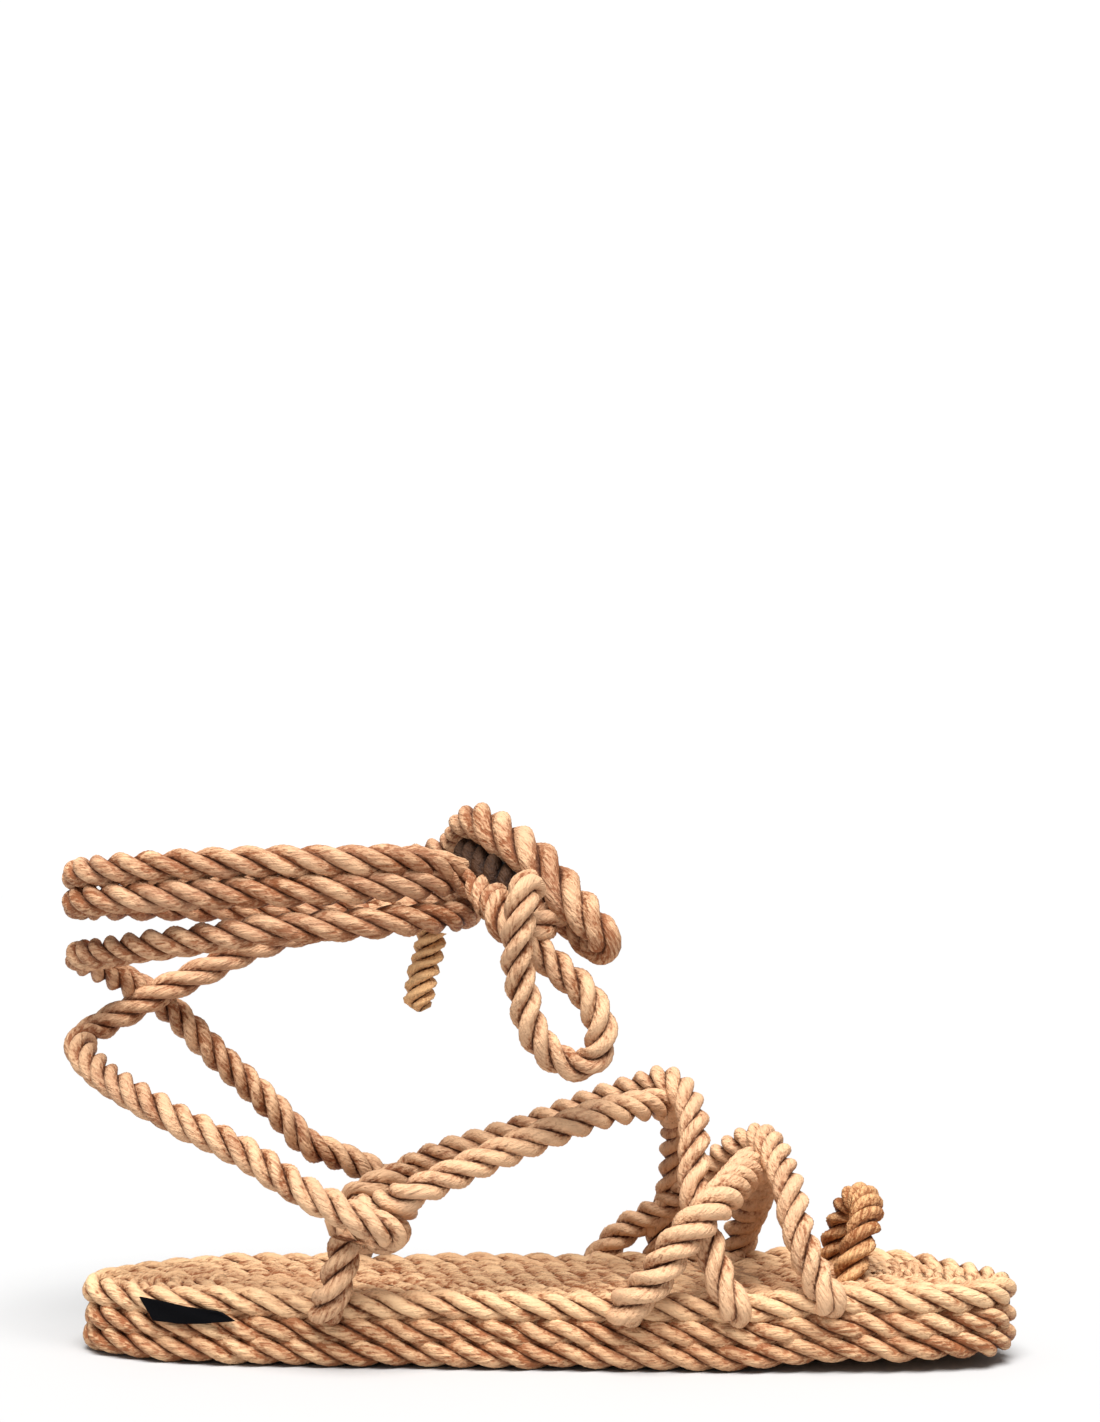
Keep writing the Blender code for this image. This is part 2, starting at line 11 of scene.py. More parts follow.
import bpy
import numpy as np
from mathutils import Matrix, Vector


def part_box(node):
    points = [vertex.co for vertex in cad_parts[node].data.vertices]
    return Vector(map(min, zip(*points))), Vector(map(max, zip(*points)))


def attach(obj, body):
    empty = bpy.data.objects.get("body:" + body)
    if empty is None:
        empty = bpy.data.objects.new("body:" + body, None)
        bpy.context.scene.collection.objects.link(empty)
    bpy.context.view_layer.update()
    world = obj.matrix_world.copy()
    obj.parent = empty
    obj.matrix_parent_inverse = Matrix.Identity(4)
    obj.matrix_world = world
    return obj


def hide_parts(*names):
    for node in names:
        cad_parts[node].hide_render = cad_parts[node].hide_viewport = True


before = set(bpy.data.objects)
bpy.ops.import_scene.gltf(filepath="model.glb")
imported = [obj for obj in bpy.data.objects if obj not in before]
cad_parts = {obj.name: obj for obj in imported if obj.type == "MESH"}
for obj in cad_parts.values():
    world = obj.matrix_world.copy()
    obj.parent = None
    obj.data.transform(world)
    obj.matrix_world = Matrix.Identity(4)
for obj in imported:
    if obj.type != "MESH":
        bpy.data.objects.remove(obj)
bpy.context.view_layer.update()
print("nodes:", ", ".join(sorted(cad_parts)))

# %% [markdown]
# ## The sandal's sizes
#
# Every route below is a table of shares, as a pattern cutter would note them: how far along the sole, how
# far across it, and how far up the lacing. One function turns a row of a table into a point in metres, so
# the routes stay readable and sit where the solid model has them.

# %% Sizes in metres
SOLE_LENGTH = 0.253
SOLE_WIDTH = 0.075
SOLE_ROPE = 0.0070
ROW_PITCH = 0.0064
TOE_SPRING = 0.0024
SPRING_START = 0.20
SPRING_END = 0.31
LACING_HEIGHT = 0.114
STRAP_TUCK = 0.0070
STRAP_PROUD = 0.0011
STRAP_RISE = 0.0046
STRAP_SINK = -0.0015
HEEL_LOOP_RISE = 0.0030
FOOTBED_TOP = 2 * ROW_PITCH + SOLE_ROPE
UPPER_SEAM = 2 * ROW_PITCH
CURVE_SAMPLES = 24
RIM_STEP = 0.0010
EDGE_REACH = 0.0015

SOLE_OUTLINE = (
    (0.500, -0.215), (0.478, -0.390), (0.421, -0.480), (0.332, -0.505), (0.204, -0.505),
    (0.065, -0.480), (-0.093, -0.445), (-0.251, -0.405), (-0.370, -0.345), (-0.444, -0.245),
    (-0.500, -0.060), (-0.458, 0.270), (-0.379, 0.440), (-0.271, 0.480), (-0.113, 0.470),
    (0.065, 0.505), (0.223, 0.515), (0.342, 0.455), (0.431, 0.270), (0.480, 0.010),
)


def smooth_route(points, spacing, closed=False):
    """Evenly spaced points on a Catmull-Rom curve.

    Between two points the curve is a cubic whose slope at each end is half the step between the
    neighbours on either side. The curve is sampled finely, its length is added up, and new points are
    read off at equal lengths.
    """
    knots = np.array(points, float)
    if closed:
        knots = np.vstack([knots[-1], knots, knots[:2]])
    else:
        knots = np.vstack([2 * knots[0] - knots[1], knots, 2 * knots[-1] - knots[-2]])
    t = np.linspace(0, 1, CURVE_SAMPLES, endpoint=False)[None, :, None]
    before, start, end, after = (knots[k : len(knots) - 3 + k, None, :] for k in range(4))
    cubic = 0.5 * (
        2 * start
        + (end - before) * t
        + (2 * before - 5 * start + 4 * end - after) * t**2
        + (3 * start - before - 3 * end + after) * t**3
    )
    dense = np.vstack([cubic.reshape(-1, knots.shape[1]), knots[-2][None]])
    walked = np.concatenate([[0], np.cumsum(np.linalg.norm(np.diff(dense, axis=0), axis=1))])
    count = max(2, round(walked[-1] / spacing))
    wanted = np.linspace(0, walked[-1], count + 1)
    if closed:
        wanted = wanted[:-1]
    return np.stack([np.interp(wanted, walked, column) for column in dense.T], axis=1)


RIM = smooth_route([(a * SOLE_LENGTH, c * SOLE_WIDTH) for a, c in SOLE_OUTLINE], RIM_STEP, closed=True)
lowest, highest = (np.array(corner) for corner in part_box("outsole_rope_layer"))
SHIFT = np.append((lowest + highest)[:2] / 2 - (RIM.min(axis=0) + RIM.max(axis=0)) / 2, 0)
print("the sole's middle sits at", np.round(SHIFT, 4))


def spring(along):
    """How far the toe end is lifted: TOE_SPRING t^2 (3 - 2 t), with t from 0 to 1 over the spring."""
    t = np.clip((along - SPRING_START) / (SPRING_END - SPRING_START), 0, 1)
    return TOE_SPRING * t * t * (3 - 2 * t)


def place(along, across, up):
    """A point in the sandal's frame from shares of the sole's length, its width and the lacing's height."""
    lift = spring(along) * max(0.0, 1 - up)
    return np.array([along * SOLE_LENGTH, across * SOLE_WIDTH, FOOTBED_TOP + up * LACING_HEIGHT + lift])


def edge(along, side):
    """The sole's edge at a share of its length: side -1 is the near edge, +1 the far edge."""
    here = RIM[np.abs(RIM[:, 0] - along * SOLE_LENGTH) < EDGE_REACH, 1]
    return here.max() if side > 0 else here.min()


def tucked_end(along, side, rise=STRAP_RISE):
    """A rope's end: inside the sole, between the two upper rows, and where it comes out at the edge."""
    rim = edge(along, side)
    seam = UPPER_SEAM + spring(along)
    inside = (along * SOLE_LENGTH, rim - side * STRAP_TUCK, seam - STRAP_SINK)
    outside = (along * SOLE_LENGTH, rim + side * STRAP_PROUD, seam + rise)
    return [inside, outside]


# %% [markdown]
# ## The camera
#
# The picture is a product shot taken low at the inner side of the sandal. A 60 mm lens about 66 cm away,
# at the height of the knot and looking slightly up, gives the same flat side view.

# %% Camera
CAMERA_AWAY = 0.6646
CAMERA_UP = 0.1283
CAMERA_ALONG = 0.0015
CAMERA_TILT = 4.0787
CAMERA_LENS = 60
SENSOR_WIDTH = 36

camera = bpy.data.objects.new("camera", bpy.data.cameras.new("camera"))
bpy.context.scene.collection.objects.link(camera)
camera.data.lens = CAMERA_LENS
camera.data.sensor_width = SENSOR_WIDTH
camera.data.sensor_fit = "AUTO"
camera.data.clip_start = 0.02
camera.location = np.array([CAMERA_ALONG, -CAMERA_AWAY, CAMERA_UP]) + SHIFT
camera.rotation_euler = (math.radians(90 + CAMERA_TILT), 0, 0)
bpy.context.scene.camera = camera
print("camera at", tuple(round(c, 4) for c in camera.location))

# %% [markdown]
# ## Shader maths as Python
#
# A material here is a short sum of noises. Wrapping a socket in a small class lets the sum be written
# with + and *, and each sign adds the Math node that it stands for.


# %% A socket that does sums
class Signal:
    """A shader value. Plain numbers are folded in, and each operation adds one Math node."""

    def __init__(self, finish, socket):
        self.finish = finish
        self.socket = socket

    def maths(self, operation, *others):
        inputs = {0: self, **dict(enumerate(others, 1))}
        return self.finish.node("ShaderNodeMath", dict(operation=operation), inputs)

    def __add__(self, other):
        return self.maths("ADD", other)

    __radd__ = __add__

    def __mul__(self, other):
        return self.maths("MULTIPLY", other)

    def __sub__(self, other):
        return self.maths("SUBTRACT", other)

    def __rsub__(self, other):
        return self * -1.0 + other

    def clamped(self):
        made = self.maths("ADD", 0.0)
        made.socket.node.use_clamp = True
        return made


class Finish:
    """A material under construction: node() adds any node, and shade() sets the Principled shader."""

    def __init__(self, name):
        self.material = bpy.data.materials.new(name)
        self.material.use_nodes = True
        self.tree = self.material.node_tree
        self.shader = self.tree.nodes["Principled BSDF"]

    def plug(self, socket, value):
        if isinstance(value, Signal):
            self.tree.links.new(value.socket, socket)
        else:
            socket.default_value = value

    def node(self, kind, settings=None, inputs=None, output=0):
        made = self.tree.nodes.new(kind)
        for name, value in (settings or {}).items():
            setattr(made, name, value)
        for name, value in (inputs or {}).items():
            self.plug(made.inputs[name], value)
        return Signal(self, made.outputs[output])

    def attribute(self, name, output="Fac"):
        return self.node("ShaderNodeAttribute", dict(attribute_name=name), output=output)

    def noise(self, vector, scale, detail=2.0, roughness=0.5):
        return self.node(
            "ShaderNodeTexNoise",
            dict(noise_dimensions="3D"),
            {"Vector": vector, "Scale": scale, "Detail": detail, "Roughness": roughness},
        )

    def stretched(self, vector, scale):
        return self.node("ShaderNodeMapping", dict(vector_type="POINT"), {"Vector": vector, "Scale": scale})

    def mix(self, share, dark, light):
        """A colour between two colours. share 0 gives the first, 1 the second."""
        made = self.tree.nodes.new("ShaderNodeMix")
        made.data_type = "RGBA"
        self.plug(made.inputs[0], share)
        self.plug(made.inputs[6], dark)
        self.plug(made.inputs[7], light)
        return Signal(self, made.outputs[2])

    def bump(self, height, distance, strength=1.0):
        return self.node("ShaderNodeBump", {}, {"Height": height, "Distance": distance, "Strength": strength})

    def shade(self, **sockets):
        for name, value in sockets.items():
            self.plug(self.shader.inputs[name.replace("_", " ")], value)
        return self.material


# %% [markdown]
# ## Rope
#
# The rope is laid from three round strands, and each strand from fine yarns. Up close it shows three
# things: deep dark grooves that wind round it, pale crowns where the strands stand proud, and fine yarn
# lines that run nearly along the rope. The grooves are modelled, and their shade is also painted: by the
# height of each point on its strand, the colour goes from a dark groove colour, painted shade, to a pale
# crown colour, painted highlight. The yarns are far finer, so they are a bump pattern on a coordinate
# that belongs to the rope, as if it had been pulled straight. Each noise is stretched along the rope, and
# each weight says how much a noise moves the mix from shade to crown.

# %% The rope's finish
YARN_SCALE = 1500.0
YARN_STRETCH = 0.09
YARN_WEIGHT = 2.2
STREAK_SCALE = 650.0
STREAK_STRETCH = 0.14
STREAK_WEIGHT = 2.0
PATCH_SCALE = 130.0
PATCH_STRETCH = 0.4
PATCH_WEIGHT = 0.45
CROWN_WEIGHT = 0.90
CROWN_LOSS = 0.04
STRAND_WEIGHT = 0.9
BLUSH_PATCHES = 3.0
BLUSH_YARNS = 2.0
BLUSH_START = 0.35
BLUSH_MOST = 0.5
GROOVE_SHARPNESS = 3.0
GROOVE_FRAY = 0.6
YARN_RELIEF = 0.0014
ROPE_ROUGHNESS = 0.62
ROUGHNESS_SPREAD = 0.3
ROPE_SPECULAR = 0.2


def rope_finish(name, groove, shade, crown, blush):
    """Twisted straw yarn: groove, shade and crown colours by height, a blush in patches, and fine streaks.
    The colours by height are painted shade in the grooves and painted highlight on the crowns.

    lit = crown height * weight - loss + streaks + yarns + the strand's level with its painted light +
    patches, clamped to 0..1.
    """
    finish = Finish(name)
    straight = finish.attribute("straight", "Vector")
    crown_height = finish.attribute("crown")
    strand = finish.attribute("strand_tone_and_light")
    yarns = finish.noise(finish.stretched(straight, (1.0, 1.0, YARN_STRETCH)), YARN_SCALE, 2.0, 0.6)
    streaks = finish.noise(finish.stretched(straight, (1.0, 1.0, STREAK_STRETCH)), STREAK_SCALE, 2.0, 0.6)
    patches = finish.noise(finish.stretched(straight, (1.0, 1.0, PATCH_STRETCH)), PATCH_SCALE, 2.0)
    fibres = (streaks - 0.5) * STREAK_WEIGHT + (yarns - 0.5) * YARN_WEIGHT
    # Painted highlight: the higher a point sits on its strand, the nearer its colour is to the pale crown
    # colour.
    lit = crown_height * CROWN_WEIGHT - CROWN_LOSS + fibres
    lit = (lit + (strand - 0.5) * STRAND_WEIGHT + (patches - 0.5) * PATCH_WEIGHT).clamped()
    body = finish.mix(lit, shade, crown)
    blushing = ((patches - 0.5) * BLUSH_PATCHES + (yarns - 0.5) * BLUSH_YARNS + BLUSH_START).clamped()
    body = finish.mix(blushing * BLUSH_MOST, body, blush)
    # Painted shade: where a point sits low on its strand, between the strands, its colour goes to the dark
    # groove colour.
    painted_groove_shade = (1.0 - crown_height * GROOVE_SHARPNESS - fibres * GROOVE_FRAY).clamped()
    return finish.shade(
        Base_Color=finish.mix(painted_groove_shade, body, groove),
        Roughness=(ROPE_ROUGHNESS + (yarns - 0.5) * ROUGHNESS_SPREAD).clamped(),
        Normal=finish.bump(yarns * 0.5 + streaks * 0.5, YARN_RELIEF),
        Specular_IOR_Level=ROPE_SPECULAR,
    )


STRAP_FINISH = rope_finish(
    "strap_rope",
    groove=(0.055, 0.014, 0.004, 1.0),
    shade=(0.275, 0.095, 0.036, 1.0),
    crown=(0.80, 0.495, 0.285, 1.0),
    blush=(0.50, 0.28, 0.165, 1.0),
)
SOLE_FINISH = rope_finish(
    "sole_rope",
    groove=(0.065, 0.018, 0.005, 1.0),
    shade=(0.30, 0.105, 0.040, 1.0),
    crown=(0.84, 0.55, 0.310, 1.0),
    blush=(0.57, 0.30, 0.155, 1.0),
)
# Painted shade: a warmer, more golden copy of the strap rope's colours for parts that lie in shade, standing
# in for the light bounced between the ropes.
GOLDEN_SHADOW_FINISH = rope_finish(
    "golden_shadow_rope",
    groove=(0.050, 0.013, 0.003, 1.0),
    shade=(0.28, 0.095, 0.030, 1.0),
    crown=(0.85, 0.505, 0.240, 1.0),
    blush=(0.52, 0.26, 0.120, 1.0),
)
# Painted shadow: near-black rope colours for the turn deep in the knot's hollow.
PAINTED_SHADOW_FINISH = rope_finish(
    "painted_shadow_rope",
    groove=(0.004, 0.001, 0.001, 1.0),
    shade=(0.020, 0.007, 0.003, 1.0),
    crown=(0.075, 0.034, 0.016, 1.0),
    blush=(0.040, 0.018, 0.009, 1.0),
)

# %% [markdown]
# ## One surface for every rope
#
# Cut a three-strand rope across and it looks like a clover leaf. If each strand is a circle of radius a
# whose middle is b from the rope's middle, the outline at an angle x from a strand is
# b cos x + sqrt(a^2 - b^2 sin^2 x). Carrying that outline along the route, turning once every lay, gives
# the whole rope as one grid of points.

# %% The clover-leaf section
STRAND_POINTS = 11
STRAND_RADIUS = 0.505
STRAND_OFFSET = 0.495
STRAND_SWELL = 0.06
WAVE_COUNT = 5
SEAM_FADE = 0.02
BLUNTEST = 0.02
TONE_SPREAD = 0.18
SWELL_TONE = 4


def leaf_angles(points):
    """Angles across one strand, closer together near the grooves on either side of it."""
    share = (np.arange(points) + 0.5) / points * 2 - 1
    return np.radians(60) * np.sin(share * np.pi / 2)


def frames_along(path, closed):
    """Tangent, normal and binormal at each point. The normal is carried along without twisting: at each
    step it loses only its part along the new tangent."""
    if closed:
        tangents = np.roll(path, -1, axis=0) - np.roll(path, 1, axis=0)
    else:
        tangents = np.gradient(path, axis=0)
    tangents /= np.linalg.norm(tangents, axis=1)[:, None]
    normals = np.empty_like(tangents)
    start = np.array([0.0, 0.0, 1.0]) if abs(tangents[0, 2]) < 0.8 else np.array([0.0, 1.0, 0.0])
    for k, tangent in enumerate(tangents):
        start = start - tangent * start.dot(tangent)
        start = start / np.linalg.norm(start)
        normals[k] = start
    return tangents, normals, np.cross(tangents, normals)


def wobble(length, count, size, seed):
    """A smooth random line: the mean of sine waves 18 to 72 mm long with random phases."""
    random = np.random.default_rng(seed)
    along = np.linspace(0, length, count)
    waves = random.uniform(6.0, 24.0, WAVE_COUNT) * 3 / 1000
    phases = random.uniform(0, 2 * np.pi, WAVE_COUNT)
    return size * 1.6 * np.sin(2 * np.pi * along[:, None] / waves + phases).mean(axis=1)


def along_rope(value, share):
    """A value for every station: the number itself, or read off a table of (share, value) rows."""
    if np.isscalar(value):
        return np.full(len(share), value)
    return np.interp(share, *zip(*value))


def closing_twist(tangents, normals, binormals):
    """The angle by which the carried normal misses the first one after a round of a closed rope."""
    carried = normals[-1] - tangents[0] * normals[-1].dot(tangents[0])
    return math.atan2(carried.dot(binormals[0]), carried.dot(normals[0]))


def tube_faces(rows, around, stations):
    """Quads between each ring of points and the next one, counted round the stations."""
    here = np.arange(around)
    ahead = (here + 1) % around
    this = rows[:, None] * around
    following = (rows[:, None] + 1) % stations * around
    return np.stack([this + here, this + ahead, following + ahead, following + here], axis=-1).reshape(-1, 4)


def add_values(mesh, name, values):
    """A number stored at each point of a mesh, for its material to read."""
    mesh.attributes.new(name, "FLOAT", "POINT").data.foreach_set("value", values.ravel())


def add_object(name, mesh):
    """The mesh as an object of the scene, at the origin."""
    piece = bpy.data.objects.new(name, mesh)
    bpy.context.scene.collection.objects.link(piece)
    return piece


def rope_piece(name, path, diameter, lay, finish, closed=False, seed=1, phase=0.0, end_taper=0.0, tone_and_light=0.5):
    """A laid rope along a path.

    Each station has three strands, each an arc of the clover leaf. The angle of a point is its place on
    the leaf plus 2 pi times the length walked over the lay, so the strands wind round the path.
    diameter, lay and the brightness level are numbers, or tables of shares of the length with a value at
    each. For several pieces that level is painted light and shade, set high where a rope faces the light
    and low where it lies in shade. end_taper rounds off the last end over that length.
    """
    count = len(path)
    steps = np.linalg.norm(np.diff(path, axis=0, append=path[:1] if closed else path[-1:]), axis=1)
    walked = np.concatenate([[0], np.cumsum(steps)[:-1]])
    length = steps.sum()
    share = walked / length
    across_here = along_rope(diameter, share)
    lay_here = along_rope(length / max(1, round(length / lay)) if closed else lay, share)
    tangents, normals, binormals = frames_along(path, closed)
    strands = np.repeat(np.arange(3), STRAND_POINTS)
    leaves = np.tile(leaf_angles(STRAND_POINTS), 3)
    alpha = strands * 2 * np.pi / 3 + leaves
    turn = 2 * np.pi * np.cumsum(np.append(0, steps[:-1] / lay_here[1:])) + phase
    swell = np.stack([wobble(length, count, STRAND_SWELL, seed * 7 + k) for k in range(3)], axis=1)
    if closed:
        turn = turn - closing_twist(tangents, normals, binormals) * share
        swell = swell * np.minimum(1, np.minimum(walked, length - walked) / SEAM_FADE)[:, None]
    a = STRAND_RADIUS * (1 + swell[:, strands])
    b = STRAND_OFFSET
    leaf_radius = b * np.cos(leaves) + np.sqrt(np.maximum(a * a - (b * np.sin(leaves)) ** 2, 0.001))
    radius = leaf_radius * across_here[:, None] / 2
    if end_taper > 0:
        left = np.clip((walked[-1] - walked) / end_taper, 0, 1)
        radius = radius * np.sqrt(np.clip(1 - (1 - left) ** 2, BLUNTEST, 1))[:, None]
    angle = alpha[None, :] + turn[:, None]
    across = radius * np.cos(angle)
    upward = radius * np.sin(angle)
    points = path[:, None] + upward[..., None] * binormals[:, None] + across[..., None] * normals[:, None]
    around = len(alpha)
    faces = tube_faces(np.arange(count if closed else count - 1), around, count)
    caps = []
    if not closed:
        caps = [list(range(around)), list(range(around * (count - 1), around * count))[::-1]]
    mesh = bpy.data.meshes.new(name)
    mesh.from_pydata(points.reshape(-1, 3) + SHIFT, [], faces.tolist() + caps)
    straight = np.stack([across, upward, np.broadcast_to(walked[:, None], across.shape)], axis=-1)
    mesh.attributes.new("straight", "FLOAT_VECTOR", "POINT").data.foreach_set("vector", straight.ravel())
    lowest_leaf = b * 0.5 + math.sqrt(STRAND_RADIUS**2 - 0.75 * b * b)
    add_values(mesh, "crown", np.clip((leaf_radius - lowest_leaf) / (1 - lowest_leaf), 0, 1))
    strand_tones = np.random.default_rng(seed).uniform(-TONE_SPREAD, TONE_SPREAD, 3)[strands]
    # Painted light and shade: the piece's level along its length, plus a random colour shift for each strand
    # and its swell.
    tones_and_light = along_rope(tone_and_light, share)[:, None] + strand_tones + swell[:, strands] * SWELL_TONE
    add_values(mesh, "strand_tone_and_light", np.clip(tones_and_light, 0, 1))
    mesh.polygons.foreach_set("use_smooth", np.ones(len(mesh.polygons), bool))
    mesh.update()
    mesh.materials.append(finish)
    print(f"{name}: {length * 1000:.0f} mm of rope, {2 * len(faces)} triangles")
    return add_object(name, mesh)


# %% [markdown]
# ## The laces and the bow
#
# Two laces start at the sole's edges, cross over the instep, hitch round a loop at each side of the heel
# and wind round the ankle. One of them goes on into the bow. Cords come first, because their length and
# their lie decide how much room the model takes. The route of each follows the table of its solid.

# %% Lace routes
INSTEP_LACE_NEAR_BASE = 0.196
INSTEP_LACE_NEAR = (
    (0.182, -0.500, 0.038), (0.174, -0.470, 0.093), (0.162, -0.413, 0.178), (0.157, -0.387, 0.226),
    (0.157, -0.347, 0.264), (0.159, -0.280, 0.331), (0.160, -0.200, 0.382), (0.152, -0.090, 0.435),
    (0.133, 0.030, 0.462), (0.107, 0.150, 0.440), (0.062, 0.267, 0.401), (0.018, 0.347, 0.358),
    (-0.029, 0.400, 0.317), (-0.075, 0.440, 0.282), (-0.114, 0.470, 0.255), (-0.146, 0.510, 0.226),
    (-0.164, 0.493, 0.199), (-0.192, 0.413, 0.177), (-0.219, 0.407, 0.146), (-0.204, 0.407, 0.107),
    (-0.176, 0.427, 0.098), (-0.158, 0.513, 0.125), (-0.168, 0.607, 0.155), (-0.192, 0.640, 0.182),
    (-0.215, 0.627, 0.208),
)
INSTEP_LACE_FAR_BASE = 0.129
INSTEP_LACE_FAR = (
    (0.134, 0.510, 0.055), (0.144, 0.450, 0.160), (0.147, 0.400, 0.219), (0.148, 0.333, 0.279),
    (0.147, 0.240, 0.335), (0.143, 0.120, 0.380), (0.133, 0.000, 0.404), (0.109, -0.120, 0.412),
    (0.059, -0.262, 0.400), (0.017, -0.347, 0.371), (-0.026, -0.400, 0.337), (-0.067, -0.453, 0.302),
    (-0.106, -0.500, 0.266), (-0.137, -0.545, 0.238), (-0.164, -0.467, 0.208), (-0.188, -0.380, 0.186),
    (-0.213, -0.373, 0.160), (-0.200, -0.373, 0.129), (-0.173, -0.393, 0.122), (-0.154, -0.480, 0.141),
    (-0.164, -0.573, 0.160), (-0.188, -0.607, 0.186), (-0.211, -0.593, 0.208),
)
NEAR_RISE = (
    (-0.241, -0.570, 0.238), (-0.267, -0.530, 0.268), (-0.301, -0.480, 0.312), (-0.336, -0.440, 0.349),
    (-0.372, -0.395, 0.381), (-0.405, -0.340, 0.413), (-0.445, -0.250, 0.452), (-0.484, -0.110, 0.492),
    (-0.515, 0.060, 0.542), (-0.509, 0.220, 0.576), (-0.475, 0.300, 0.622), (-0.433, 0.330, 0.675),
    (-0.388, 0.360, 0.724), (-0.343, 0.400, 0.775), (-0.285, 0.455, 0.818), (-0.216, 0.500, 0.846),
)
FAR_RISE = (
    (-0.245, 0.585, 0.240), (-0.275, 0.530, 0.272), (-0.305, 0.505, 0.345), (-0.336, 0.490, 0.412),
    (-0.367, 0.475, 0.477), (-0.396, 0.470, 0.539), (-0.432, 0.445, 0.618), (-0.468, 0.335, 0.684),
    (-0.496, 0.190, 0.728), (-0.514, 0.030, 0.763), (-0.484, -0.150, 0.775), (-0.421, -0.315, 0.796),
    (-0.364, -0.395, 0.814),
)
ANKLE_MIDDLE = -0.300
ANKLE_HALF_LENGTH = 0.213
ANKLE_HALF_WIDTH = 0.478
ANKLE_ROUNDNESS = 2.25
FAR_LACE_TURNS = (
    (0.25, 0.834), (0.36, 0.856), (0.50, 0.872), (0.75, 0.878), (1.00, 0.893), (1.25, 0.924), (1.44, 0.950),
)
NEAR_LACE_TURNS = (
    (-0.33, 0.868), (-0.40, 0.900), (-0.50, 0.950), (-0.62, 0.998), (-0.75, 0.994), (-1.00, 0.960),
    (-1.25, 0.972), (-1.36, 1.000), (-1.44, 1.045),
)
WRAP_STEP = 0.035
FAR_LACE_TO_KNOT = ((-0.0190, -0.0150, 0.1268), (-0.0165, -0.0210, 0.1249), (-0.0141, -0.0306, 0.1216))
BOW_FRONT_LOOP = (
    (-0.0222, 0.0040, 0.1440), (-0.0180, -0.0050, 0.1445), (-0.0131, -0.0130, 0.1414),
    (-0.0080, -0.0200, 0.1378), (-0.0033, -0.0260, 0.1345), (0.0010, -0.0310, 0.1302),
    (0.0052, -0.0360, 0.1251), (0.0094, -0.0400, 0.1207), (0.0130, -0.0430, 0.1166),
    (0.0158, -0.0435, 0.1128), (0.0152, -0.0385, 0.1103), (0.0120, -0.0335, 0.1120),
    (0.0080, -0.0305, 0.1160), (0.0042, -0.0290, 0.1200), (-0.0010, -0.0290, 0.1220),
    (-0.0050, -0.0318, 0.1219),
)
BOW_HANGING_LOOP = (
    (-0.0034, -0.0434, 0.1268), (-0.0050, -0.0475, 0.1262), (-0.0058, -0.0493, 0.1222),
    (-0.0065, -0.0497, 0.1175), (-0.0070, -0.0490, 0.1115), (-0.0068, -0.0478, 0.1051),
    (-0.0053, -0.0468, 0.0978), (-0.0035, -0.0470, 0.0906), (0.0005, -0.0460, 0.0844),
    (0.0067, -0.0450, 0.0805), (0.0124, -0.0445, 0.0815), (0.0148, -0.0440, 0.0867),
    (0.0140, -0.0435, 0.0929), (0.0106, -0.0425, 0.0989), (0.0062, -0.0410, 0.1030),
    (0.0010, -0.0390, 0.1075), (-0.0025, -0.0387, 0.1103), (-0.0061, -0.0382, 0.1136),
)
LACE_END = (
    (-0.0308, -0.0134, 0.1142), (-0.0320, -0.0140, 0.1070), (-0.0335, -0.0150, 0.1020),
    (-0.0341, -0.0150, 0.0970), (-0.0341, -0.0150, 0.0925),
)


def ankle_ring(turns, up):
    """Points of the wraps: an oval squarer than an ellipse, counted in turns from the heel's back."""
    angle = 2 * np.pi * np.asarray(turns)
    power = 2 / ANKLE_ROUNDNESS
    forward = -np.sign(np.cos(angle)) * np.abs(np.cos(angle)) ** power
    sideways = -np.sign(np.sin(angle)) * np.abs(np.sin(angle)) ** power
    along = ANKLE_MIDDLE + ANKLE_HALF_LENGTH * forward
    return [place(*row) for row in zip(along, ANKLE_HALF_WIDTH * sideways, up)]


def ankle_turns(table):
    """A lace's route round the ankle: stations at equal turns, heights read off the table."""
    turns = np.array([row[0] for row in table])
    heights = np.array([row[1] for row in table])
    count = max(2, round(abs(turns[-1] - turns[0]) / WRAP_STEP))
    stations = np.linspace(turns[0], turns[-1], count + 1)
    order = np.argsort(turns)
    return ankle_ring(stations, np.interp(stations, turns[order], heights[order]))


STEP = 0.0012
LACE_CROWN = 0.0090
FAR_LACE_LAY = (
    (0.0, 0.024), (0.04, 0.022), (0.30, 0.021), (0.36, 0.020), (0.48, 0.022), (0.55, 0.0275), (1.0, 0.0275),
)
NEAR_LACE_LAY = (
    (0.0, 0.022), (0.25, 0.022), (0.30, 0.021), (0.42, 0.022), (0.50, 0.0275), (0.9, 0.0275), (1.0, 0.018),
)
# Painted light along both laces: lighter where they cross the instep and face the light from above, darker
# from the rise round the ankle on.
LACE_PAINTED_LIGHT = ((0.0, 0.72), (0.26, 0.68), (0.40, 0.30), (0.50, 0.22), (0.56, 0.08), (1.0, 0.06))
BOW_CROWN = ((0.0, 0.0090), (0.10, 0.0096), (0.24, 0.0122), (0.56, 0.0122), (0.70, 0.0094), (1.0, 0.0090))
BOW_LAY = ((0.0, 0.018), (0.10, 0.021), (0.24, 0.034), (0.52, 0.034), (0.68, 0.022), (1.0, 0.020))
# Painted shade: the bow's front loop is dark, and darkest on its way back under itself to the knot.
BOW_PAINTED_SHADE = ((0.0, 0.22), (0.20, 0.18), (0.55, 0.20), (0.75, 0.05), (1.0, 0.05))
HANGING_LAY = 0.0205
END_LAY = 0.0110
END_ROUNDING = 0.0040
# Painted light: the lace end lies in shade, and its colour is lifted to the lightest level.
END_PAINTED_LIGHT = 1.0


def places(table):
    """The points of a table of (along, across, up) rows."""
    return [place(*row) for row in table]


